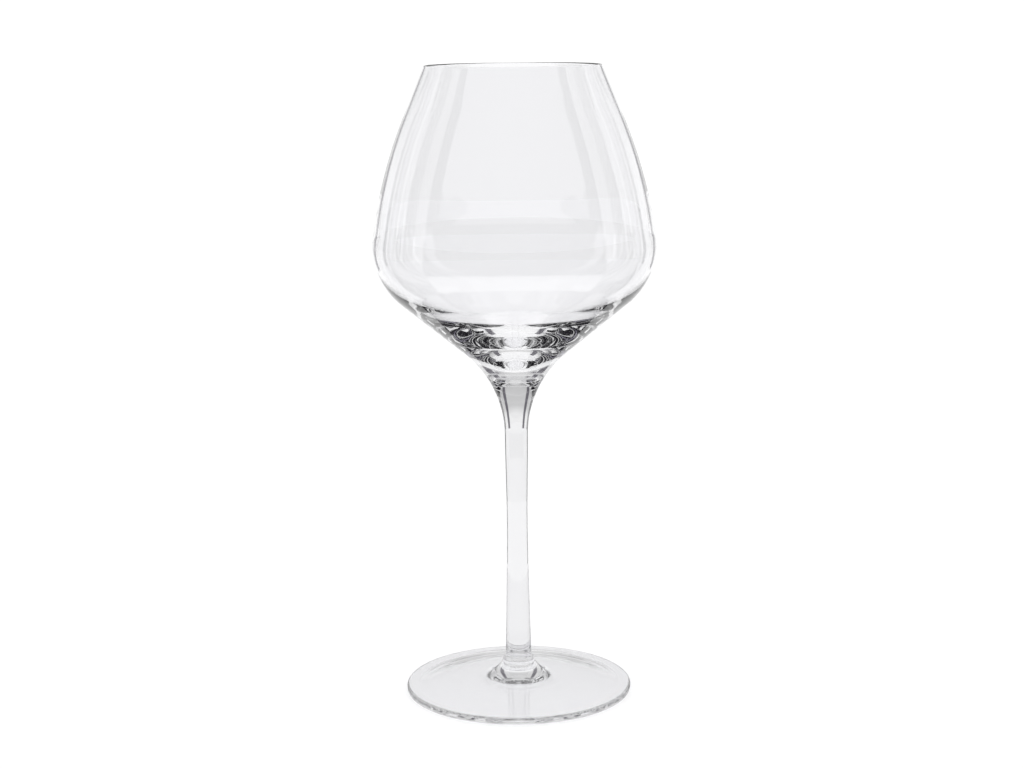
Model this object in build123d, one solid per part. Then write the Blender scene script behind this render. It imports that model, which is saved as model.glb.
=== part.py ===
from build123d import *

import os
from math import asin, cos, degrees, radians, sin, sqrt, tan

# Stemmed red-wine glass in clear crystal: blown bowl, drawn stem, collar and foot.
#
# The frame is +Z up, with the origin at the centre of the ring that the foot rests on.
# All sizes are millimetres and all angles are degrees. Every piece is a turned solid about Z.
# The pieces are fused end to end, so each one meets the next on a flat round face, and the
# softened edges of those faces leave a fine groove round each joint.

# Heights above the table
TOTAL_HEIGHT = 230.0
SIDE_BEND_HEIGHT = 194.3        # where the upper and lower sides would meet if not rounded
SHOULDER_HEIGHT = 155.5         # where the lower side and the cone would meet if not rounded
BOWL_JOINT_HEIGHT = 117.5       # fused face between bowl and stem
STEM_WAIST_HEIGHT = 66.0        # slimmest place of the stem
STEM_END_HEIGHT = 12.4          # fused face between stem and collar
COLLAR_HEIGHT = 2.0

# Bowl, outside
RIM_RADIUS = 31.8
SIDE_BEND_RADIUS = 46.4
SHOULDER_RADIUS = 53.35         # before rounding; the bowl itself is about 51 at its widest
CONE_SLOPE = 39.3               # lower cone, above the horizontal
SHOULDER_ROUND = 27.0
SIDE_ROUND = 170.0

# Bowl, inside. Its slopes are flatter than the outside's, so the glass thickens to the bottom.
WALL_AT_RIM = 0.9
WALL_AT_SIDE_BEND = 0.75
WALL_AT_SHOULDER = 2.5          # at the corner before rounding; about 1.9 at the widest place
INNER_SHOULDER_SLOPE = 38.0     # cone just under the shoulder, above the horizontal
INNER_SHOULDER_ROUND = 22.2
INNER_BEND_RADIUS = 35.8        # where the two inner cones would meet if not rounded
INNER_BEND_HEIGHT = 143.8
INNER_BEND_ROUND = 15.0
INNER_CONE_SLOPE = 31.4         # cone over the bottom
INNER_BOTTOM_ROUND = 12.0

# Stem and collar
STEM_NECK_RADIUS = 4.2          # where the trumpet under the bowl begins
STEM_WAIST_RADIUS = 3.8
STEM_END_RADIUS = 4.75
STEM_END_FLARE = 1.5            # how far the stem's end opens, from the vertical
TRUMPET_ROUND = 40.0            # sweep from the stem into the bowl's cone
COLLAR_RADIUS = 5.9
COLLAR_BAND = 0.5               # upright side of the collar, below its round
COLLAR_LEDGE = 0.1              # level step between the stem's end and the collar's round
JOINT_GROOVE = 0.15             # round on the edges of the fused faces

# Foot
FOOT_RADIUS = 41.6
FOOT_EDGE_THICKNESS = 2.6
FOOT_EDGE_ROUND = 1.0
FOOT_TOP_SLOPE = 5.5
BOSS_SLOPE = 50.0               # side of the raised centre
BOSS_ROUND = 8.0                # sweep from the raised centre to the disc
REST_RING_WIDTH = 3.0           # level ring that stands on the table
KICK_HEIGHT = 3.2               # how far the hollow under the foot rises at its middle


def at(radius, height):
    """A point of a turned outline, in the XZ plane."""
    return Vector(radius, 0, height)


def towards(angle, length=1.0):
    """A step in the XZ plane, at an angle above the horizontal."""
    return at(length * cos(radians(angle)), length * sin(radians(angle)))


def turned(*edges):
    """The solid that a closed outline in the XZ plane makes when it is turned about Z."""
    return revolve(make_face(Wire(list(edges))), Axis.Z)


def lean_between(low, high):
    """Angle from the vertical at which a stretch of the side leans in towards the axis."""
    return (high - low).get_angle(Vector(0, 0, 1))


# Corners of the bowl's outer outline, before rounding
SHOULDER_CORNER = at(SHOULDER_RADIUS, SHOULDER_HEIGHT)
SIDE_CORNER = at(SIDE_BEND_RADIUS, SIDE_BEND_HEIGHT)
LOWER_SIDE_LEAN = lean_between(SHOULDER_CORNER, SIDE_CORNER)

# The rim's round, and the upper side that runs up to touch it
RIM_ROUND = WALL_AT_RIM / 2
RIM_CENTRE = at(RIM_RADIUS - RIM_ROUND, TOTAL_HEIGHT - RIM_ROUND)
RIM_SPREAD = degrees(asin(RIM_ROUND / (RIM_CENTRE - SIDE_CORNER).length))
UPPER_SIDE_LEAN = lean_between(SIDE_CORNER, RIM_CENTRE) - RIM_SPREAD


def trumpet_centre():
    """Centre of the arc that carries the stem's neck into the bowl's cone."""
    run = SHOULDER_RADIUS - STEM_NECK_RADIUS
    corner_height = SHOULDER_HEIGHT - run * tan(radians(CONE_SLOPE))
    tangent_length = TRUMPET_ROUND * tan(radians(90 - CONE_SLOPE) / 2)
    return at(STEM_NECK_RADIUS + TRUMPET_ROUND, corner_height - tangent_length)


def trumpet_point(height):
    """The point of the trumpet arc at a height."""
    centre = trumpet_centre()
    reach = sqrt(TRUMPET_ROUND**2 - (height - centre.Z) ** 2)
    return at(centre.X - reach, height)


def trumpet_arc(low, high):
    """The stretch of the trumpet arc between two of its points, from low to high."""
    return ThreePointArc(low, trumpet_point((low.Z + high.Z) / 2), high)


def bowl_outside(rim_outer):
    """Outer outline from the fused face to the rim."""
    joint_edge = trumpet_point(BOWL_JOINT_HEIGHT)
    cone_start = trumpet_centre() + towards(90 + CONE_SLOPE, TRUMPET_ROUND)
    upper = FilletPolyline(
        cone_start,
        SHOULDER_CORNER,
        SIDE_CORNER,
        rim_outer,
        radius=[SHOULDER_ROUND, SIDE_ROUND],
    )
    return [trumpet_arc(joint_edge, cone_start), *upper.edges()]


def inner_side_corner(outer_corner, wall):
    """The corner of the bowl's inner side, level with an outer one and a wall's width inside it."""
    return outer_corner - at(wall / cos(radians(LOWER_SIDE_LEAN)), 0)


def inner_shoulder_corner(bend, cone_corner):
    """Where the inner side, going down from its bend, would meet the upper inner cone."""
    below = inner_side_corner(SHOULDER_CORNER, WALL_AT_SHOULDER)
    lean = tan(radians(lean_between(below, bend)))
    climb = tan(radians(INNER_SHOULDER_SLOPE))
    height_over_cone = bend.Z - cone_corner.Z - (bend.X - cone_corner.X) * climb
    run = height_over_cone * lean / (1 + climb * lean)
    return at(bend.X + run, cone_corner.Z + (bend.X + run - cone_corner.X) * climb)


def bowl_inside(rim_inner):
    """Inner outline from the axis, round the bottom and up the wall to the rim."""
    bend = inner_side_corner(SIDE_CORNER, WALL_AT_SIDE_BEND)
    cone_corner = at(INNER_BEND_RADIUS, INNER_BEND_HEIGHT)
    shoulder = inner_shoulder_corner(bend, cone_corner)

    apex = at(0, cone_corner.Z - cone_corner.X * tan(radians(INNER_CONE_SLOPE)))
    bottom_centre = apex + at(0, INNER_BOTTOM_ROUND / cos(radians(INNER_CONE_SLOPE)))
    bottom = bottom_centre + towards(-90, INNER_BOTTOM_ROUND)
    half_way = bottom_centre + towards(-90 + INNER_CONE_SLOPE / 2, INNER_BOTTOM_ROUND)
    cone_start = bottom_centre + towards(-90 + INNER_CONE_SLOPE, INNER_BOTTOM_ROUND)
    wall = FilletPolyline(
        cone_start,
        cone_corner,
        shoulder,
        bend,
        rim_inner,
        radius=[INNER_BEND_ROUND, INNER_SHOULDER_ROUND, SIDE_ROUND - WALL_AT_SIDE_BEND],
    )
    return bottom, [ThreePointArc(bottom, half_way, cone_start), *wall.edges()]


def softened(solid, height):
    """The solid with its outer edge at a fused face rounded, which leaves the joint's groove."""
    edges = [e for e in solid.edges() if abs(e.center().Z - height) < JOINT_GROOVE / 2]
    return fillet(edges, JOINT_GROOVE)


def make_bowl():
    """Thin blown shell with a rounded rim, on a base that thickens towards the stem."""
    rim_outer = RIM_CENTRE + towards(UPPER_SIDE_LEAN, RIM_ROUND)
    rim_inner = RIM_CENTRE - towards(UPPER_SIDE_LEAN, RIM_ROUND)
    rim_crest = RIM_CENTRE + towards(90 + UPPER_SIDE_LEAN, RIM_ROUND)
    bottom, inside = bowl_inside(rim_inner)
    foot_of_axis = at(0, BOWL_JOINT_HEIGHT)
    bowl = turned(
        Line(foot_of_axis, trumpet_point(BOWL_JOINT_HEIGHT)),
        *bowl_outside(rim_outer),
        ThreePointArc(rim_outer, rim_crest, rim_inner),
        *inside,
        Line(bottom, foot_of_axis),
    )
    return softened(bowl, BOWL_JOINT_HEIGHT)


def make_stem():
    """Drawn solid stem: trumpet under the bowl, slim waist and a slightly opened end."""
    joint_edge = trumpet_point(BOWL_JOINT_HEIGHT)
    neck = at(STEM_NECK_RADIUS, trumpet_centre().Z)
    end = at(STEM_END_RADIUS, STEM_END_HEIGHT)
    shaft = Spline(
        end,
        at(STEM_WAIST_RADIUS, STEM_WAIST_HEIGHT),
        neck,
        tangents=[towards(90 + STEM_END_FLARE), towards(90)],
    )
    stem = turned(
        Line(at(0, STEM_END_HEIGHT), end),
        shaft,
        trumpet_arc(neck, joint_edge),
        Line(joint_edge, at(0, BOWL_JOINT_HEIGHT)),
        Line(at(0, BOWL_JOINT_HEIGHT), at(0, STEM_END_HEIGHT)),
    )
    return softened(softened(stem, BOWL_JOINT_HEIGHT), STEM_END_HEIGHT)


def make_collar():
    """Small bead of glass that joins the stem's end to the foot."""
    base_height = STEM_END_HEIGHT - COLLAR_HEIGHT
    ledge_edge = at(STEM_END_RADIUS + COLLAR_LEDGE, STEM_END_HEIGHT)
    base_edge = at(COLLAR_RADIUS, base_height)
    band_top = at(COLLAR_RADIUS, base_height + COLLAR_BAND)
    crown = Plane.XZ * EllipticalCenterArc(
        (ledge_edge.X, band_top.Z),
        COLLAR_RADIUS - ledge_edge.X,
        COLLAR_HEIGHT - COLLAR_BAND,
        arc_size=90,
    )
    collar = turned(
        Line(at(0, base_height), base_edge),
        Line(base_edge, band_top),
        crown,
        Line(ledge_edge, at(0, STEM_END_HEIGHT)),
        Line(at(0, STEM_END_HEIGHT), at(0, base_height)),
    )
    return softened(collar, base_height)


def hollow_arc(ring_inner):
    """Arc of the domed hollow under the foot, from the rest ring in to the axis."""
    dome_radius = (ring_inner.X**2 + KICK_HEIGHT**2) / (2 * KICK_HEIGHT)
    spread = degrees(asin(ring_inner.X / dome_radius))
    centre = at(0, KICK_HEIGHT - dome_radius)
    half_way = centre + towards(90 - spread / 2, dome_radius)
    return ThreePointArc(ring_inner, half_way, at(0, KICK_HEIGHT))


def make_foot():
    """Round foot: raised centre, shallow cone, rounded edge and a domed hollow underneath."""
    boss_top = at(COLLAR_RADIUS, STEM_END_HEIGHT - COLLAR_HEIGHT)
    edge_top = at(FOOT_RADIUS, FOOT_EDGE_THICKNESS)
    edge_bottom = at(FOOT_RADIUS, 0)
    ring_inner = at(FOOT_RADIUS - FOOT_EDGE_ROUND - REST_RING_WIDTH, 0)

    # Where the boss's side, going down and out, meets the disc's top, going up and in
    drop = boss_top.Z - edge_top.Z
    reach = edge_top.X - boss_top.X
    boss_run = (drop - reach * tan(radians(FOOT_TOP_SLOPE))) / (
        tan(radians(BOSS_SLOPE)) - tan(radians(FOOT_TOP_SLOPE))
    )
    boss_foot = boss_top + at(boss_run, -boss_run * tan(radians(BOSS_SLOPE)))

    top = FilletPolyline(
        boss_top, boss_foot, edge_top, edge_bottom, ring_inner,
        radius=[BOSS_ROUND, FOOT_EDGE_ROUND, FOOT_EDGE_ROUND],
    )
    foot = turned(
        Line(at(0, boss_top.Z), boss_top),
        *top.edges(),
        hollow_arc(ring_inner),
        Line(at(0, KICK_HEIGHT), at(0, boss_top.Z)),
    )
    return softened(foot, boss_top.Z)


PIECES = {
    "bowl": make_bowl,
    "stem": make_stem,
    "joint_collar": make_collar,
    "foot": make_foot,
}

if __name__ == "__main__":
    os.makedirs("parts", exist_ok=True)
    for name, make in PIECES.items():
        export_step(make(), f"parts/{name}.step")
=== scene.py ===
"""A stemmed red-wine glass in clear crystal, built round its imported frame.

Four turned pieces are fused end to end: the blown bowl, the drawn stem, the collar and the
spun foot. Each outline is worked out in millimetres in the (radius, height) plane and turned
about the upright axis. The heights of the fused faces, the rim and the foot's edge are read
from the frame's boxes, so the pieces meet where the frame says.
"""

from __future__ import annotations

import logging
import math
from dataclasses import dataclass
from enum import Enum

import bpy
import numpy as np
from mathutils import Matrix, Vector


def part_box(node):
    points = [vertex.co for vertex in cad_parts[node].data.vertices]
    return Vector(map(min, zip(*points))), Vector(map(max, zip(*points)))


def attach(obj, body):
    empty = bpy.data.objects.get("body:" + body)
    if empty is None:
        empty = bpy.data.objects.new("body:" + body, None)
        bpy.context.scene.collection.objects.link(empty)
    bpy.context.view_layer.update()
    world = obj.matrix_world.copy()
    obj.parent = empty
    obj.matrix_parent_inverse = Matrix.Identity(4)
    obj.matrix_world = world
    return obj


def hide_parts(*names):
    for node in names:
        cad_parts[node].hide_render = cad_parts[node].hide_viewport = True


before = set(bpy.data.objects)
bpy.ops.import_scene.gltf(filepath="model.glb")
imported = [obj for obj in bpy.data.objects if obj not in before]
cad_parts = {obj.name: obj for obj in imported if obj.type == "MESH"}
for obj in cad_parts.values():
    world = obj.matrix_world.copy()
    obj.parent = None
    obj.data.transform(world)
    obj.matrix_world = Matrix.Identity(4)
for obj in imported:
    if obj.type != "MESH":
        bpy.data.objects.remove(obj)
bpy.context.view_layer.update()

LOG = logging.getLogger("wine_glass")
MM = 0.001
SEGMENTS = 256  # round each turned piece
BODY = "root"
Node = bpy.types.Node
Socket = bpy.types.NodeSocket
Array = np.ndarray


# ---------------------------------------------------------------- outlines


def point(radius: float, height: float) -> Array:
    """Return a place in the (radius, height) plane, in millimetres."""
    return np.array([radius, height], dtype=float)


def step(angle: float, length: float = 1.0) -> Array:
    """Return a step at an angle above the horizontal: length times (cosine, sine)."""
    return length * point(math.cos(math.radians(angle)), math.sin(math.radians(angle)))


def bearing(way: Array) -> float:
    """Return the angle of a step above the horizontal, in degrees."""
    return math.degrees(math.atan2(way[1], way[0]))


def straight(start: Array, end: Array, spacing: float = 3.0) -> Array:
    """Return points along a straight run: start plus t times (end less start), t from 0 to 1.

    Args:
        start: First point.
        end: Last point.
        spacing: Longest distance between two points, in millimetres.

    Returns:
        The points, one row each.
    """
    count = max(1, math.ceil(np.linalg.norm(end - start) / spacing))
    t = np.linspace(0.0, 1.0, count + 1)[:, None]
    return start * (1.0 - t) + end * t


def arc(centre: Array, radius: float, start: float, end: float) -> Array:
    """Return points of an arc: centre plus radius times (cos a, sin a), a from start to end.

    Args:
        centre: Centre of the arc.
        radius: Its radius, in millimetres.
        start: First angle, in degrees.
        end: Last angle, in degrees.

    Returns:
        The points, no more than 6 degrees and 0.6 mm apart.
    """
    sweep = abs(end - start)
    count = max(2, math.ceil(sweep / 6.0), math.ceil(radius * math.radians(sweep) / 0.6))
    a = np.radians(np.linspace(start, end, count + 1))
    return centre + radius * np.stack([np.cos(a), np.sin(a)], axis=1)


def join(*runs: Array) -> Array:
    """Chain runs into one outline, leaving out a point that repeats the last one."""
    chain = np.concatenate(runs)
    apart = np.linalg.norm(np.diff(chain, axis=0), axis=1) > 1e-6
    return chain[np.concatenate([[True], apart])]


def corner_arc(before: Array, corner: Array, after: Array, radius: float) -> Array:
    """Return the arc that rounds a corner and touches both of its sides.

    The centre lies on the line that halves the corner, radius over sin(half angle) away.

    Args:
        before: A point on the side that arrives.
        corner: The corner.
        after: A point on the side that leaves.
        radius: Radius of the round, in millimetres.

    Returns:
        The points of the arc, from the arriving side to the leaving side.
    """
    arrive = (before - corner) / np.linalg.norm(before - corner)
    leave = (after - corner) / np.linalg.norm(after - corner)
    half = math.acos(float(np.clip(arrive @ leave, -1.0, 1.0))) / 2.0
    middle = (arrive + leave) / np.linalg.norm(arrive + leave)
    centre = corner + middle * radius / math.sin(half)
    reach = radius / math.tan(half)
    start = bearing(corner + arrive * reach - centre)
    sweep = (bearing(corner + leave * reach - centre) - start + 180.0) % 360.0 - 180.0
    return arc(centre, radius, start, start + sweep)


def rounded(corners: list[Array], radii: list[float]) -> Array:
    """Return straight runs between corners, with every inner corner rounded.

    Args:
        corners: The first point, the corners and the last point.
        radii: One radius for each inner corner.

    Returns:
        The points of the outline.
    """
    bends = [
        corner_arc(corners[i], corners[i + 1], corners[i + 2], radius)
        for i, radius in enumerate(radii)
    ]
    starts = [corners[0], *(bend[-1] for bend in bends)]
    ends = [*(bend[0] for bend in bends), corners[-1]]
    runs = [straight(a, b) for a, b in zip(starts, ends)]
    pieces = [runs[0]]
    for bend, run in zip(bends, runs[1:]):
        pieces += [bend, run]
    return join(*pieces)


def crossing(corner: Array, slope: float, low: Array, high: Array) -> Array:
    """Return where a line through a corner, at a slope, meets the line from low to high.

    Both lines are written as point plus number times direction, and the two numbers solved.

    Args:
        corner: A point of the first line.
        slope: Its angle above the horizontal, in degrees.
        low: A point of the second line.
        high: Another point of the second line.

    Returns:
        The point on both lines.
    """
    sides = np.stack([step(slope), low - high], axis=1)
    along = np.linalg.solve(sides, low - corner)
    return corner + along[0] * step(slope)


def groove(outline: Array, radius: float) -> Array:
    """Round the first corner of an outline, between a level face inside it and its first run.

    Args:
        outline: Outline that starts on the edge of a fused face.
        radius: Radius of the fire-softened edge, in millimetres.

    Returns:
        The outline with the rounded edge in place of the corner.
    """
    corner = outline[0]
    bend = corner_arc(corner - point(1.0, 0.0), corner, outline[1], radius)
    beyond = np.linalg.norm(outline - corner, axis=1) > 1.5 * np.linalg.norm(bend[-1] - corner)
    return join(bend, outline[beyond])


# ---------------------------------------------------------------- nodes and finishes


def linear(colour: str) -> tuple[float, float, float, float]:
    """Turn an sRGB hex colour into linear light.

    Each channel c is c / 12.92 up to 0.04045, and ((c + 0.055) / 1.055) to the 2.4 above it.

    Args:
        colour: Six hex digits after a hash.

    Returns:
        Red, green, blue and an alpha of one.
    """
    c = np.array([int(colour[i : i + 2], 16) / 255.0 for i in (1, 3, 5)])
    light = np.where(c <= 0.04045, c / 12.92, ((c + 0.055) / 1.055) ** 2.4)
    return (*light.tolist(), 1.0)


def add(
    tree: bpy.types.NodeTree, kind: str, inputs: dict | None = None, **settings: object
) -> Node:
    """Add a node with its settings and links.

    Args:
        tree: The node tree.
        kind: The node's type name.
        inputs: Value or source socket for each input, by name or number.
        **settings: Properties of the node.

    Returns:
        The new node.
    """
    node = tree.nodes.new(kind)
    for name, value in settings.items():
        setattr(node, name, value)
    for name, value in (inputs or {}).items():
        if isinstance(value, Socket):
            tree.links.new(value, node.inputs[name])
        else:
            node.inputs[name].default_value = value
    return node


def new_material(name: str) -> tuple[bpy.types.Material, bpy.types.NodeTree]:
    """Make a material with an empty node tree."""
    material = bpy.data.materials.new(name)
    material.use_nodes = True
    material.node_tree.nodes.clear()
    return material, material.node_tree


@dataclass(frozen=True)
class Crystal:
    """Lead-free crystal: colourless, bright and very clear, polished by its own melting.

    The eye gets a sharp bright reflection, a dark thin edge and a faint cool tone in thick
    glass. Each way of making it leaves its own slow relief, a few thousandths of a millimetre
    deep, and its own faint wear.
    """

    name: str = "crystal"
    tint: str = "#FDFDFE"
    ior: float = 1.52
    relief_depth: float = 0.010  # millimetres
    haze: float = 0.012  # roughness of the faintly rubbed patches
    haze_size: float = 18.0  # millimetres
    rubbed: tuple[float, float] = (0.56, 0.8)  # noise where a rubbed patch begins and is full

    def relief(self, tree: bpy.types.NodeTree, place: Socket) -> Socket:
        """Return the height of the surface, from 0 to 1, at a place."""
        raise NotImplementedError

    def wear(self, tree: bpy.types.NodeTree, place: Socket) -> Socket:
        """Return the roughness: patches of noise above its middle, times the haze."""
        noise = add(
            tree,
            "ShaderNodeTexNoise",
            {"Vector": place, "Scale": 1.0 / (self.haze_size * MM), "Detail": 3.0},
        )
        patches = add(
            tree,
            "ShaderNodeMapRange",
            {
                "Value": noise.outputs["Fac"],
                "From Min": self.rubbed[0],
                "From Max": self.rubbed[1],
                "To Max": self.haze,
            },
        )
        return patches.outputs["Result"]

    def material(self) -> bpy.types.Material:
        """Build the glass: a Principled shader that transmits all light, with relief and wear."""
        material, tree = new_material(self.name)
        place = add(tree, "ShaderNodeTexCoord").outputs["Object"]
        bump = add(
            tree,
            "ShaderNodeBump",
            {"Height": self.relief(tree, place), "Distance": self.relief_depth * MM},
        )
        shader = add(
            tree,
            "ShaderNodeBsdfPrincipled",
            {
                "Base Color": linear(self.tint),
                "IOR": self.ior,
                "Transmission Weight": 1.0,
                "Roughness": self.wear(tree, place),
                "Normal": bump.outputs["Normal"],
            },
        )
        add(tree, "ShaderNodeOutputMaterial", {"Surface": shader.outputs["BSDF"]})
        return material


@dataclass(frozen=True)
class BlownCrystal(Crystal):
    """Crystal blown in a mould and fire-polished: a slow ripple that bends what is behind it."""

    name: str = "lead_free_crystal_blown_fire_polished"
    relief_depth: float = 0.012
    ripple: float = 16.0  # millimetres between two swells

    def relief(self, tree: bpy.types.NodeTree, place: Socket) -> Socket:
        """Smooth noise, one swell to each ripple length, drawn out a little up the wall."""
        upright = add(
            tree, "ShaderNodeMapping", {"Vector": place, "Scale": (1.0, 1.0, 0.6)}
        )
        swell = add(
            tree,
            "ShaderNodeTexNoise",
            {
                "Vector": upright.outputs["Vector"],
                "Scale": 1.0 / (self.ripple * MM),
                "Detail": 0.0,
            },
        )
        return swell.outputs["Fac"]


@dataclass(frozen=True)
class DrawnCrystal(Crystal):
    """Crystal pulled into a stem while soft: long faint draw lines run along its length.

    Light goes a long way inside a stem, which leaves it a little greyer than the thin bowl.
    """

    name: str = "lead_free_crystal_drawn"
    tint: str = "#F1F1F2"
    relief_depth: float = 0.0022
    haze: float = 0.008
    line_width: float = 1.6  # millimetres
    line_length: float = 70.0

    def relief(self, tree: bpy.types.NodeTree, place: Socket) -> Socket:
        """Noise squeezed to a line's width across the stem and stretched to its length."""
        across, along = 1.0 / (self.line_width * MM), 1.0 / (self.line_length * MM)
        stretched = add(
            tree, "ShaderNodeMapping", {"Vector": place, "Scale": (across, across, along)}
        )
        lines = add(
            tree,
            "ShaderNodeTexNoise",
            {"Vector": stretched.outputs["Vector"], "Scale": 1.0, "Detail": 1.0},
        )
        return lines.outputs["Fac"]


@dataclass(frozen=True)
class BeadCrystal(Crystal):
    """Crystal melted on as a bead: its skin has flowed, so it swells softly all round."""

    name: str = "lead_free_crystal_flame_fused"
    tint: str = "#F6F6F7"
    relief_depth: float = 0.004
    swell: float = 2.6  # millimetres

    def relief(self, tree: bpy.types.NodeTree, place: Socket) -> Socket:
        """Smooth noise of about one swell to the bead's own height."""
        soft = add(
            tree,
            "ShaderNodeTexNoise",
            {"Vector": place, "Scale": 1.0 / (self.swell * MM), "Detail": 0.0},
        )
        return soft.outputs["Fac"]


@dataclass(frozen=True)
class SpunCrystal(Crystal):
    """Crystal spun flat while soft: faint rings about the axis, and scuffs where it stands."""

    name: str = "lead_free_crystal_spun"
    tint: str = "#F6F6F7"
    relief_depth: float = 0.012
    ring_width: float = 3.2  # millimetres between two rings
    scuff_size: float = 0.5
    scuff: float = 0.03  # roughness of the scuffs
    scuff_height: float = 0.25  # millimetres above the table
    scratched: tuple[float, float] = (0.5, 0.7)  # noise where a scuff begins and is full

    def relief(self, tree: bpy.types.NodeTree, place: Socket) -> Socket:
        """Noise of the distance from the axis alone, so that it lies in rings."""
        flat = add(
            tree,
            "ShaderNodeVectorMath",
            {0: place, 1: (1.0, 1.0, 0.0)},
            operation="MULTIPLY",
        )
        reach = add(
            tree, "ShaderNodeVectorMath", {0: flat.outputs["Vector"]}, operation="LENGTH"
        )
        rings = add(
            tree,
            "ShaderNodeTexNoise",
            {
                "W": reach.outputs["Value"],
                "Scale": 1.0 / (self.ring_width * MM),
                "Detail": 1.0,
            },
            noise_dimensions="1D",
        )
        return rings.outputs["Fac"]

    def wear(self, tree: bpy.types.NodeTree, place: Socket) -> Socket:
        """Add the scuffs to the haze: fine noise, only on what touches the table."""
        haze = Crystal.wear(self, tree, place)
        split = add(tree, "ShaderNodeSeparateXYZ", {"Vector": place})
        low = add(
            tree,
            "ShaderNodeMapRange",
            {
                "Value": split.outputs["Z"],
                "From Min": self.scuff_height * MM,
                "From Max": 0.0,
                "To Max": self.scuff,
            },
        )
        grit = add(
            tree,
            "ShaderNodeTexNoise",
            {"Vector": place, "Scale": 1.0 / (self.scuff_size * MM), "Detail": 2.0},
        )
        scuffs = add(
            tree,
            "ShaderNodeMapRange",
            {
                "Value": grit.outputs["Fac"],
                "From Min": self.scratched[0],
                "From Max": self.scratched[1],
            },
        )
        return add(
            tree,
            "ShaderNodeMath",
            {0: low.outputs["Result"], 1: scuffs.outputs["Result"], 2: haze},
            operation="MULTIPLY_ADD",
        ).outputs["Value"]


@dataclass(frozen=True)
class FusedFace:
    """The face where two pieces melted together: one glass, so light passes as if through none."""

    name: str = "fused_crystal_face"

    def material(self) -> bpy.types.Material:
        """Build the see-through shader that closes a piece without showing."""
        material, tree = new_material(self.name)
        clear = add(tree, "ShaderNodeBsdfTransparent")
        add(tree, "ShaderNodeOutputMaterial", {"Surface": clear.outputs["BSDF"]})
        return material


@dataclass(frozen=True)
class StudioPaper:
    """Matt white background paper: an even pale floor with the faintest mottle."""

    name: str = "matt_studio_paper"
    dark: str = "#F8F8F9"
    light: str = "#FBFBFB"
    mottle: float = 60.0  # millimetres

    def material(self) -> bpy.types.Material:
        """Build the paper: two near whites mixed by noise, with no shine."""
        material, tree = new_material(self.name)
        place = add(tree, "ShaderNodeTexCoord").outputs["Object"]
        noise = add(
            tree,
            "ShaderNodeTexNoise",
            {"Vector": place, "Scale": 1.0 / (self.mottle * MM), "Detail": 4.0},
        )
        tone = add(
            tree,
            "ShaderNodeMix",
            {0: noise.outputs["Fac"], 6: linear(self.dark), 7: linear(self.light)},
            data_type="RGBA",
        )
        shader = add(tree, "ShaderNodeBsdfDiffuse", {"Color": tone.outputs[2]})
        add(tree, "ShaderNodeOutputMaterial", {"Surface": shader.outputs["BSDF"]})
        return material


@dataclass(frozen=True)
class StudioPanel:
    """A panel of even light, of black cloth or of painted shadow, seen only in and through the
    glass.
    """

    name: str
    colour: str

    def material(self) -> bpy.types.Material:
        """Build the panel: plain light, but clear to light on its way from the floor."""
        material, tree = new_material(self.name)
        light = add(tree, "ShaderNodeEmission", {"Color": linear(self.colour), "Strength": 1.0})
        clear = add(tree, "ShaderNodeBsdfTransparent")
        path = add(tree, "ShaderNodeLightPath")
        floor_light = add(
            tree,
            "ShaderNodeMath",
            {0: path.outputs["Diffuse Depth"], 1: 0.5},
            operation="GREATER_THAN",
        )
        mixed = add(
            tree,
            "ShaderNodeMixShader",
            {0: floor_light.outputs["Value"], 1: light.outputs["Emission"], 2: clear.outputs[0]},
        )
        add(tree, "ShaderNodeOutputMaterial", {"Surface": mixed.outputs["Shader"]})
        return material


# ---------------------------------------------------------------- turned pieces


class Cap(Enum):
    """How an end of a turned outline is closed on the axis."""

    SKIN = 0  # its own polished surface, smooth with the rest
    FUSED = 1  # a flat face where it is one glass with the next piece


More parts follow.
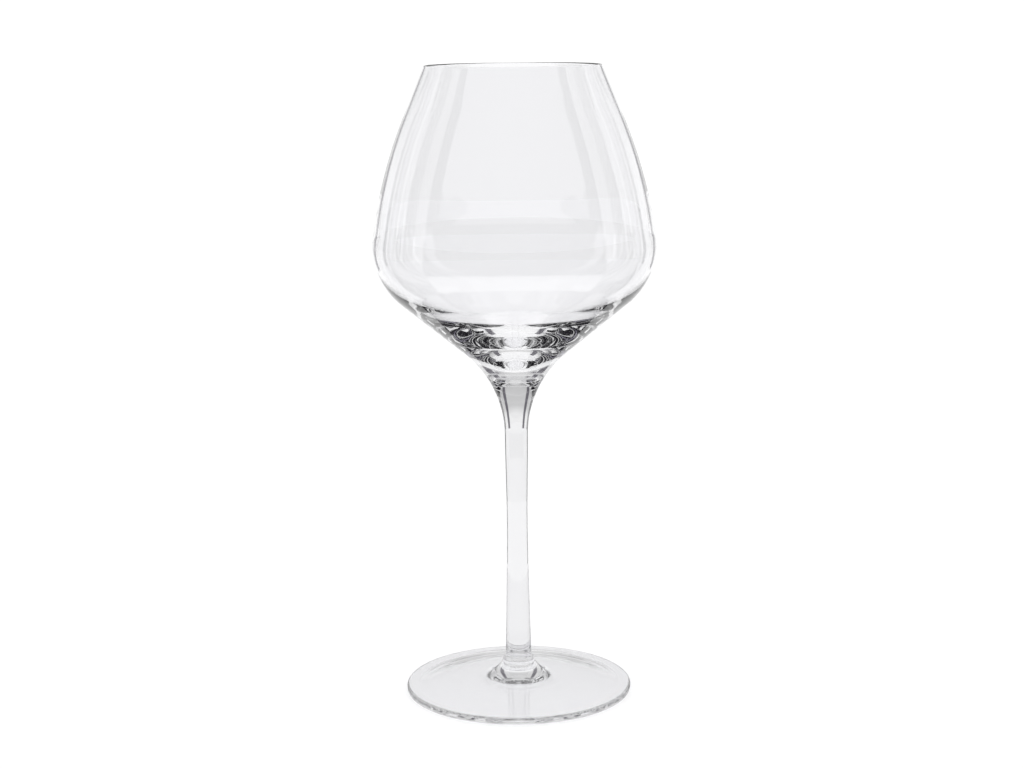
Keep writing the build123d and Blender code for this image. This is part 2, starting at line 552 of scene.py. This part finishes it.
def turn(
    name: str, outline: Array, ends: tuple[Cap, Cap], levels: tuple[float, float]
) -> bpy.types.Object:
    """Turn an outline about the upright axis and close both of its ends.

    A point of the outline (r, z) and an angle t give the place (r cos t, r sin t, z). Each end
    is closed by a fan of triangles from its ring to a point on the axis.

    Args:
        name: Name of the object.
        outline: Points in millimetres, from the lower end up the outside to the upper end.
        ends: How the first and the last ring are closed.
        levels: Heights of the two points on the axis, in millimetres.

    Returns:
        The new object, with slot 0 for the skin and slot 1 for fused faces.
    """
    rings = outline[outline[:, 0] > 1e-6] * MM
    t = np.arange(SEGMENTS) * (2.0 * math.pi / SEGMENTS)
    radius, height = rings[:, :1], np.repeat(rings[:, 1:], SEGMENTS, axis=1)
    skin = np.stack([radius * np.cos(t), radius * np.sin(t), height], axis=2).reshape(-1, 3)
    poles = np.array([[0.0, 0.0, level * MM] for level in levels])

    here, beside = np.arange(SEGMENTS), (np.arange(SEGMENTS) + 1) % SEGMENTS
    base = (np.arange(len(rings) - 1) * SEGMENTS)[:, None]
    quads = np.stack(
        [base + here, base + beside, base + beside + SEGMENTS, base + here + SEGMENTS], axis=2
    ).reshape(-1, 4)
    first, last = len(skin), (len(rings) - 1) * SEGMENTS
    low = np.stack([np.full(SEGMENTS, first), beside, here], axis=1)
    high = np.stack([np.full(SEGMENTS, first + 1), last + here, last + beside], axis=1)

    slots = np.concatenate(
        [
            np.zeros(len(quads), np.int32),
            np.full(SEGMENTS, ends[0].value, np.int32),
            np.full(SEGMENTS, ends[1].value, np.int32),
        ]
    )
    loops = np.concatenate([quads.ravel(), low.ravel(), high.ravel()]).astype(np.int32)
    starts = np.concatenate(
        [np.arange(len(quads)) * 4, len(quads) * 4 + np.arange(2 * SEGMENTS) * 3]
    ).astype(np.int32)
    mesh = bpy.data.meshes.new(name)
    places = np.concatenate([skin, poles]).astype(np.float32)
    mesh.vertices.add(len(places))
    mesh.vertices.foreach_set("co", places.ravel())
    mesh.loops.add(len(loops))
    mesh.loops.foreach_set("vertex_index", loops)
    mesh.polygons.add(len(starts))
    mesh.polygons.foreach_set("loop_start", starts)
    mesh.polygons.foreach_set("material_index", slots)
    mesh.polygons.foreach_set("use_smooth", slots == Cap.SKIN.value)
    mesh.update(calc_edges=True)
    mesh.validate()
    piece = bpy.data.objects.new(name, mesh)
    bpy.context.scene.collection.objects.link(piece)
    return piece


def dress(
    piece: bpy.types.Object, finish: Crystal, fused: bpy.types.Material, node: str
) -> bpy.types.Object:
    """Give a piece its two materials, set it on its body and let it stand for its node.

    Args:
        piece: The turned piece.
        finish: Its own crystal.
        fused: Material of the fused faces.
        node: The frame's node that it replaces.

    Returns:
        The same piece.
    """
    piece.data.materials.append(finish.material())
    piece.data.materials.append(fused)
    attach(piece, BODY)
    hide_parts(node)
    faces = len(piece.data.loops) - 2 * len(piece.data.polygons)
    LOG.info("%s: %d triangles, stands for %s", piece.name, faces, node)
    return piece


def top_of(node: str) -> float:
    """Return the height of a node's highest point, in millimetres."""
    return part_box(node)[1].z / MM


def bottom_of(node: str) -> float:
    """Return the height of a node's lowest point, in millimetres."""
    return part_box(node)[0].z / MM


@dataclass
class Cone:
    """The cone under the bowl and the trumpet arc that carries the stem up into it."""

    neck_radius: float = 4.2
    trumpet_round: float = 40.0
    slope: float = 39.3  # above the horizontal
    shoulder_radius: float = 53.35  # before rounding
    shoulder_height: float = 155.5

    @property
    def shoulder(self) -> Array:
        """Return the corner between the cone and the side."""
        return point(self.shoulder_radius, self.shoulder_height)

    @property
    def centre(self) -> Array:
        """Return the centre of the arc, which touches the upright neck and the cone."""
        run = self.shoulder_radius - self.neck_radius
        corner = self.shoulder_height - run * math.tan(math.radians(self.slope))
        reach = self.trumpet_round * math.tan(math.radians(90.0 - self.slope) / 2.0)
        return point(self.neck_radius + self.trumpet_round, corner - reach)

    def angle_at(self, height: float) -> float:
        """Return the arc's angle at a height: 180 degrees less the arcsine of rise over radius."""
        rise = (height - self.centre[1]) / self.trumpet_round
        return 180.0 - math.degrees(math.asin(rise))

    def neck(self, joint: float) -> Array:
        """Return the arc from the neck up to the fused face."""
        return arc(self.centre, self.trumpet_round, 180.0, self.angle_at(joint))

    def throat(self, joint: float) -> Array:
        """Return the arc from the fused face up to the straight cone."""
        end = 90.0 + self.slope
        return arc(self.centre, self.trumpet_round, self.angle_at(joint), end)


@dataclass
class Bowl:
    """The blown bowl: a thin wall with a rounded rim, on a base that thickens to the stem."""

    cone: Cone
    joint: float  # height of the fused face under it
    rim_height: float
    groove_round: float = 0.15
    rim_radius: float = 31.8
    rim_wall: float = 0.9
    bend_radius: float = 46.4  # where the two sides would meet
    bend_height: float = 194.3
    bend_round: float = 170.0
    bend_wall: float = 0.75
    shoulder_round: float = 27.0
    shoulder_wall: float = 2.5  # at the corner before rounding
    inner_shoulder_slope: float = 38.0
    inner_shoulder_round: float = 22.2
    inner_bend_radius: float = 35.8  # where the two inner cones would meet
    inner_bend_height: float = 143.8
    inner_bend_round: float = 15.0
    inner_slope: float = 31.4
    bottom_round: float = 12.0

    @property
    def bend(self) -> Array:
        """Return the corner between the lower and the upper side."""
        return point(self.bend_radius, self.bend_height)

    @property
    def rim_centre(self) -> Array:
        """Return the centre of the rim's round, half a wall in from the edge and the top."""
        return point(self.rim_radius - self.rim_wall / 2.0, self.rim_height - self.rim_wall / 2.0)

    @property
    def upper_lean(self) -> float:
        """Return the lean of the side that touches the rim's round, from the upright."""
        way = self.rim_centre - self.bend
        spread = math.degrees(math.asin(self.rim_wall / 2.0 / float(np.linalg.norm(way))))
        return bearing(way) - 90.0 - spread

    def inset(self, corner: Array, wall: float) -> Array:
        """Return a corner moved in level, so that its wall measures square to the lower side."""
        lean = bearing(self.bend - self.cone.shoulder) - 90.0
        return corner - point(wall / math.cos(math.radians(lean)), 0.0)

    def bottom_centre(self) -> Array:
        """Return the centre of the round in the bottom, which touches the lower inner cone."""
        rise = self.inner_bend_radius * math.tan(math.radians(self.inner_slope))
        lift = self.bottom_round / math.cos(math.radians(self.inner_slope))
        return point(0.0, self.inner_bend_height - rise + lift)

    def inside(self, rim: Array) -> Array:
        """Return the inner outline from the axis up to the rim."""
        centre = self.bottom_centre()
        bend = self.inset(self.bend, self.bend_wall)
        below = self.inset(self.cone.shoulder, self.shoulder_wall)
        inner_bend = point(self.inner_bend_radius, self.inner_bend_height)
        shoulder = crossing(inner_bend, self.inner_shoulder_slope, below, bend)
        bottom = arc(centre, self.bottom_round, -90.0, -90.0 + self.inner_slope)
        radii = [self.inner_bend_round, self.inner_shoulder_round, self.bend_round - self.bend_wall]
        wall = rounded([bottom[-1], inner_bend, shoulder, bend, rim], radii)
        return join(bottom, wall)

    def outline(self) -> Array:
        """Return the outline: up the outside, over the rim and down the inside to the axis."""
        lean, half = self.upper_lean, self.rim_wall / 2.0
        throat = self.cone.throat(self.joint)
        rim = arc(self.rim_centre, half, lean, lean + 180.0)
        sides = [throat[-1], self.cone.shoulder, self.bend, rim[0]]
        outside = rounded(sides, [self.shoulder_round, self.bend_round])
        lower = groove(join(throat, outside), self.groove_round)
        return join(lower, rim, self.inside(rim[-1])[::-1])

    def build(self) -> bpy.types.Object:
        """Turn the bowl."""
        floor = self.bottom_centre()[1] - self.bottom_round
        return turn("Bowl", self.outline(), (Cap.FUSED, Cap.SKIN), (self.joint, floor))


@dataclass
class Stem:
    """The drawn stem: an opened end, a slim waist and the trumpet under the bowl."""

    cone: Cone
    low: float  # height of the fused face on the collar
    joint: float  # height of the fused face under the bowl
    groove_round: float = 0.15
    end_radius: float = 4.75
    end_flare: float = 1.5  # from the upright
    waist_radius: float = 3.8
    waist_height: float = 66.0

    def shaft(self, heights: tuple[float, float], radii: tuple[float, float], slope: float) -> Array:
        """Return a smooth run of radius over height, level at its upper end.

        The radius is the cubic with the given radii at both heights, the slope at the lower
        one and no slope at the upper one.

        Args:
            heights: Lower and upper height, in millimetres.
            radii: Radius at each of them.
            slope: Change of radius for each millimetre up, at the lower one.

        Returns:
            The points, from the lower to the upper.
        """
        rise = heights[1] - heights[0]
        t = np.linspace(0.0, 1.0, math.ceil(rise / 1.2) + 1)
        blend = 3.0 * t**2 - 2.0 * t**3
        start = (t**3 - 2.0 * t**2 + t) * rise * slope
        radius = radii[0] + (radii[1] - radii[0]) * blend + start
        return np.stack([radius, heights[0] + rise * t], axis=1)

    def outline(self) -> Array:
        """Return the outline from the collar's face up to the bowl's face."""
        flare = -math.tan(math.radians(self.end_flare))
        neck_height = self.cone.centre[1]
        lower = self.shaft(
            (self.low, self.waist_height), (self.end_radius, self.waist_radius), flare
        )
        upper = self.shaft(
            (self.waist_height, neck_height), (self.waist_radius, self.cone.neck_radius), 0.0
        )
        side = groove(join(lower, upper, self.cone.neck(self.joint)), self.groove_round)
        return groove(side[::-1], self.groove_round)[::-1]

    def build(self) -> bpy.types.Object:
        """Turn the stem."""
        return turn("Stem", self.outline(), (Cap.FUSED, Cap.FUSED), (self.low, self.joint))


@dataclass
class Collar:
    """The bead between stem and foot: a short upright band under a quarter-oval crown."""

    low: float
    high: float
    stem_radius: float
    groove_round: float = 0.15
    radius: float = 5.9
    band: float = 0.5
    ledge: float = 0.1

    def outline(self) -> Array:
        """Return the outline; the crown is (ledge plus a cos t, band top plus b sin t)."""
        t = np.radians(np.linspace(0.0, 90.0, 25))
        inner, band_top = self.stem_radius + self.ledge, self.low + self.band
        crown = point(inner, band_top) + np.stack(
            [(self.radius - inner) * np.cos(t), (self.high - band_top) * np.sin(t)], axis=1
        )
        side = straight(point(self.radius, self.low), point(self.radius, band_top), 0.1)
        return groove(join(side, crown), self.groove_round)

    def build(self) -> bpy.types.Object:
        """Turn the collar."""
        return turn("JointCollar", self.outline(), (Cap.FUSED, Cap.FUSED), (self.low, self.high))


@dataclass
class Foot:
    """The spun foot: raised centre, shallow cone, rounded edge and a domed hollow underneath."""

    radius: float
    boss_height: float
    boss_radius: float
    groove_round: float = 0.15
    edge: float = 2.6
    edge_round: float = 1.0
    top_slope: float = 5.5
    boss_slope: float = 50.0
    boss_round: float = 8.0
    ring_width: float = 3.0
    kick_height: float = 3.2  # how far the hollow rises at its middle

    def hollow(self, reach: float) -> Array:
        """Return the domed hollow under the foot, from the axis out to the rest ring.

        The dome's radius is reach squared plus height squared, over twice the height.

        Args:
            reach: Inner radius of the rest ring, in millimetres.

        Returns:
            The points, from the axis outwards.
        """
        dome = (reach**2 + self.kick_height**2) / (2.0 * self.kick_height)
        spread = math.degrees(math.asin(reach / dome))
        return arc(point(0.0, self.kick_height - dome), dome, 90.0, 90.0 - spread)

    def outline(self) -> Array:
        """Return the outline: out under the foot, round its edge and up the raised centre."""
        edge_top, edge_low = point(self.radius, self.edge), point(self.radius, 0.0)
        ring_inner = point(self.radius - self.edge_round - self.ring_width, 0.0)
        boss_top = point(self.boss_radius, self.boss_height)
        boss_foot = crossing(
            edge_top, 180.0 - self.top_slope, boss_top, boss_top + step(-self.boss_slope)
        )
        under = self.hollow(float(ring_inner[0]))
        over = rounded(
            [ring_inner, edge_low, edge_top, boss_foot, boss_top],
            [self.edge_round, self.edge_round, self.boss_round],
        )
        return groove(join(under, over)[::-1], self.groove_round)[::-1]

    def build(self) -> bpy.types.Object:
        """Turn the foot."""
        return turn(
            "Foot", self.outline(), (Cap.SKIN, Cap.FUSED), (self.kick_height, self.boss_height)
        )


@dataclass
class WineGlass:
    """The whole glass, with each piece's heights taken from the frame's boxes."""

    def build(self) -> list[bpy.types.Object]:
        """Build and dress the four pieces, from the foot up to the rim."""
        cone, fused = Cone(), FusedFace().material()
        joint, collar_top = bottom_of("bowl"), top_of("joint_collar")
        stem = Stem(cone, collar_top, joint)
        collar = Collar(bottom_of("joint_collar"), collar_top, stem.end_radius)
        foot = Foot(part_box("foot")[1].x / MM, top_of("foot"), collar.radius)
        bowl = Bowl(cone, joint, top_of("bowl"))
        return [
            dress(foot.build(), SpunCrystal(), fused, "foot"),
            dress(collar.build(), BeadCrystal(), fused, "joint_collar"),
            dress(stem.build(), DrawnCrystal(), fused, "stem"),
            dress(bowl.build(), BlownCrystal(), fused, "bowl"),
        ]


# ---------------------------------------------------------------- studio


DOME_GRID = (33, 17)  # places over the azimuths and the elevations
CLOTH_GRID = (33, 5)  # places over the azimuths and the reaches
WHITE, PALE, LAVENDER = "#FFFFFF", "#EFEFF0", "#8F8C9A"
# The middle grey on the next line is painted shadow, for the floor under the bowl as the glass
# mirrors it.
GREY, PAINTED_SHADOW_GREY, BLACK = "#77757B", "#57555C", "#0A090C"


class Side(Enum):
    """The two sides of the glass, as the camera sees them."""

    LEFT = -1.0
    RIGHT = 1.0


class Seen(Enum):
    """Which light may find a panel: what the glass mirrors, what it lets through, or both."""

    BOTH = (True, True)
    MIRRORED = (True, False)
    THROUGH = (False, True)


@dataclass(frozen=True)
class Panel:
    """A piece of a dome round the glass. Azimuth 0 is the camera's side and 180 is behind."""

    name: str
    azimuths: tuple[float, float]
    elevations: tuple[float, float]
    finish: StudioPanel
    seen: Seen = Seen.BOTH
    radius: float = 1.6  # metres

    def build(self, rig: bpy.types.Object) -> bpy.types.Object:
        """Build the panel on the rig.

        An azimuth a and an elevation e give the place radius times
        (sin a cos e, -cos a cos e, sin e), over a grid of both.
        """
        a, e = np.meshgrid(
            np.radians(np.linspace(*self.azimuths, DOME_GRID[0])),
            np.radians(np.linspace(*self.elevations, DOME_GRID[1])),
        )
        places = self.radius * np.stack(
            [np.sin(a) * np.cos(e), -np.cos(a) * np.cos(e), np.sin(e)], axis=2
        )
        return hang(surface(self.name, places, self.finish.material()), rig, self.seen)


def hang(sheet: bpy.types.Object, rig: bpy.types.Object, seen: Seen) -> bpy.types.Object:
    """Hang a sheet on the rig, to be found only by light that the glass mirrors or lets through."""
    sheet.parent = rig
    sheet.visible_camera = sheet.visible_diffuse = sheet.visible_shadow = False
    sheet.visible_glossy, sheet.visible_transmission = seen.value
    return sheet


def surface(name: str, places: Array, material: bpy.types.Material) -> bpy.types.Object:
    """Make a sheet from a grid of places, for the studio.

    Args:
        name: Name of the object.
        places: Places in metres, rows by columns by three.
        material: Its material.

    Returns:
        The new object, marked as part of the stage.
    """
    rows, columns = places.shape[:2]
    corner = (np.arange(rows - 1) * columns)[:, None] + np.arange(columns - 1)
    faces = np.stack([corner, corner + 1, corner + columns + 1, corner + columns], axis=2)
    mesh = bpy.data.meshes.new(name)
    mesh.from_pydata(places.reshape(-1, 3).tolist(), [], faces.reshape(-1, 4).tolist())
    mesh.materials.append(material)
    sheet = bpy.data.objects.new(name, mesh)
    bpy.context.scene.collection.objects.link(sheet)
    return sheet


@dataclass(frozen=True)
class FloorCloth:
    """A sheet that lies a hair above the floor, between two azimuths and two reaches."""

    name: str
    azimuths: tuple[float, float]
    reaches: tuple[float, float]  # metres from the axis
    finish: StudioPanel
    seen: Seen = Seen.BOTH
    lift: float = 0.5  # millimetres

    def build(self, rig: bpy.types.Object) -> bpy.types.Object:
        """Build the sheet: azimuth a and reach r give the place (r sin a, -r cos a, lift)."""
        a, r = np.meshgrid(
            np.radians(np.linspace(*self.azimuths, CLOTH_GRID[0])),
            np.linspace(*self.reaches, CLOTH_GRID[1]),
        )
        lift = np.full_like(a, self.lift * MM)
        places = np.stack([r * np.sin(a), -r * np.cos(a), lift], axis=2)
        return hang(surface(self.name, places, self.finish.material()), rig, self.seen)


@dataclass
class Camera:
    """The camera on its stand, a little above the rim and tipped down to the glass."""

    distance: float = 0.7158  # metres from the glass's axis
    side: float = -0.0014
    height: float = 0.2480
    pitch: float = 10.51  # below the horizontal
    roll: float = -0.6
    lens: float = 70.36
    sensor: float = 36.0

    def build(self) -> bpy.types.Object:
        """Build the camera: moved to its place, tipped down, then rolled about its own view."""
        data = bpy.data.cameras.new("Camera")
        data.lens, data.sensor_width = self.lens, self.sensor
        camera = bpy.data.objects.new("Camera", data)
        bpy.context.scene.collection.objects.link(camera)
        camera.matrix_world = (
            Matrix.Translation((self.side, -self.distance, self.height))
            @ Matrix.Rotation(math.radians(90.0 - self.pitch), 4, "X")
            @ Matrix.Rotation(math.radians(self.roll), 4, "Z")
        )
        bpy.context.scene.camera = camera
        return camera


@dataclass
class Studio:
    """A white paper floor in an even white room, with black cloth on the camera's side.

    The cloth and the panels stand on an arm that turns to face the camera, so every side of
    the glass gets the same light.
    """

    camera: bpy.types.Object
    floor_half: float = 1.6  # metres
    air: float = 0.15  # millimetres of air between the paper and the rest ring
    front: float = 77.0  # half the azimuth that the black cloth before the glass takes up
    side_end: float = 150.0  # azimuth where the side panels end
    cloth_top: float = 80.0  # elevation
    side_top: float = 70.0
    # Reach of the painted shadow: a grey sheet under the bowl that only the glass mirrors, standing
    # in for the bowl's shadow on the floor.
    painted_shadow_reaches: tuple[float, float] = (0.043, 0.17)  # metres, on the floor under the bowl
    table_side: tuple[float, float] = (60.0, 103.0)  # azimuths off straight behind
    table_side_start: float = 0.15
    table_front: float = 0.35
    cloth_reach: float = 1.6
    strip_reach: float = 0.8
    # from and to azimuth off straight behind, colour and highest elevation of each strip
    strips: tuple[tuple[float, float, str, float], ...] = (
        (22.0, 31.0, GREY, 60.0),
        (50.0, 55.0, BLACK, 70.0),
        (57.5, 62.0, BLACK, 70.0),
        (62.0, 64.5, LAVENDER, 70.0),
        (64.5, 69.0, BLACK, 70.0),
        (71.0, 77.0, BLACK, 70.0),
        (80.0, 92.0, BLACK, 70.0),
    )
    room: float = 1.1  # light of the room on the floor
    dimming: tuple[float, float] = (0.03, 0.16)  # sines of the elevations where it starts and ends
    dimmed: float = 0.7  # light of the room above them
    depth: int = 48  # how often light may turn inside thick glass
    clear_depth: int = 64  # how many clear sheets light may pass

    def floor(self) -> bpy.types.Object:
        """Lay the paper floor: a flat square."""
        x, y = np.meshgrid(*[np.linspace(-self.floor_half, self.floor_half, 3)] * 2)
        places = np.stack([x, y, np.full_like(x, -self.air * MM)], axis=2)
        return surface("Floor", places, StudioPaper().material())

    def arm(self) -> bpy.types.Object:
        """Stand up the arm that turns about the upright axis to face the camera."""
        rig = bpy.data.objects.new("TurntableArm", None)
        bpy.context.scene.collection.objects.link(rig)
        follow = rig.constraints.new("LOCKED_TRACK")
        follow.target, follow.track_axis, follow.lock_axis = (
            self.camera,
            "TRACK_NEGATIVE_Y",
            "LOCK_Z",
        )
        return rig

    def world(self) -> None:
        """Light the room evenly, a little dimmer high up where the glass looks at it.

        The brightness falls from full at the lower height to the dim value at the upper one,
        both as the sine of the elevation. Camera and floor see the room at its full light.
        """
        world = bpy.data.worlds.new("WhiteRoom")
        bpy.context.scene.world = world
        world.use_nodes = True
        tree = world.node_tree
        tree.nodes.clear()
        way = add(tree, "ShaderNodeTexCoord").outputs["Generated"]
        split = add(tree, "ShaderNodeSeparateXYZ", {"Vector": way})
        dimmed = add(
            tree,
            "ShaderNodeMapRange",
            {
                "Value": split.outputs["Z"],
                "From Min": self.dimming[0],
                "From Max": self.dimming[1],
                "To Min": 1.0,
                "To Max": self.dimmed,
            },
        )
        path = add(tree, "ShaderNodeLightPath")
        direct = add(
            tree,
            "ShaderNodeMath",
            {0: path.outputs["Is Camera Ray"], 1: path.outputs["Diffuse Depth"]},
            operation="ADD",
            use_clamp=True,
        )
        level = add(
            tree,
            "ShaderNodeMix",
            {0: direct.outputs["Value"], 2: dimmed.outputs["Result"], 3: self.room},
            data_type="FLOAT",
        )
        light = add(
            tree,
            "ShaderNodeBackground",
            {"Color": linear("#FFFFFF"), "Strength": level.outputs[0]},
        )
        add(tree, "ShaderNodeOutputWorld", {"Surface": light.outputs["Background"]})

    def panels(self) -> list[Panel | FloorCloth]:
        """List the cloth before the glass, the panels beside it, the painted shadow under the bowl
        and the strips behind it.
        """
        black, painted_shadow = StudioPanel("black_cloth", BLACK), StudioPanel("painted_bowl_shadow", PAINTED_SHADOW_GREY)
        white, dim = StudioPanel("side_panel_right", WHITE), StudioPanel("side_panel_left", PALE)
        ahead, tall = (-self.front, self.front), (0.0, self.side_top)
        front = [
            Panel("BlackCloth", ahead, (0.0, self.cloth_top), black),
            Panel("SidePanelLeft", (-self.side_end, -self.front), tall, dim, Seen.MIRRORED),
            Panel("SidePanelRight", (self.front, self.side_end), tall, white, Seen.MIRRORED),
            # Painted shadow: a grey sheet on the floor under the bowl stands in for the bowl's
            # shadow there, and it is seen only in the glass's reflections.
            FloorCloth("PaintedBowlShadow", (0.0, 360.0), self.painted_shadow_reaches, painted_shadow, Seen.MIRRORED),
            FloorCloth("DarkRoom", ahead, (self.table_front, self.cloth_reach), black),
        ]
        sides = [
            FloorCloth(
                f"TableSide{side.name.title()}",
                tuple(180.0 - side.value * azimuth for azimuth in self.table_side),
                (self.table_side_start, self.cloth_reach),
                black,
                Seen.THROUGH,
            )
            for side in Side
        ]
        behind = [
            Panel(
                f"Strip{side.name.title()}{number}",
                tuple(180.0 - side.value * azimuth for azimuth in strip[:2]),
                (0.0, strip[3]),
                StudioPanel(f"strip_{side.name.lower()}_{number}", strip[2]),
                Seen.THROUGH,
                self.strip_reach,
            )
            for side in Side
            for number, strip in enumerate(self.strips)
        ]
        return front + sides + behind

    def build(self) -> None:
        """Lay the floor, light the room, hang the panels and let light go deep into glass."""
        self.floor()
        self.world()
        rig = self.arm()
        panels = self.panels()
        for panel in panels:
            panel.build(rig)
        scene = bpy.context.scene
        scene.view_settings.view_transform = "Standard"
        cycles = scene.cycles
        cycles.max_bounces = cycles.transmission_bounces = cycles.glossy_bounces = self.depth
        cycles.transparent_max_bounces = self.clear_depth
        cycles.blur_glossy = 0.0


def main() -> None:
    """Build the glass, its studio and the camera, and report each piece."""
    logging.basicConfig(level=logging.INFO, format="%(name)s %(message)s")
    pieces = WineGlass().build()
    LOG.info("%d pieces", len(pieces))
    Studio(Camera().build()).build()


if __name__ == "__main__":
    main()
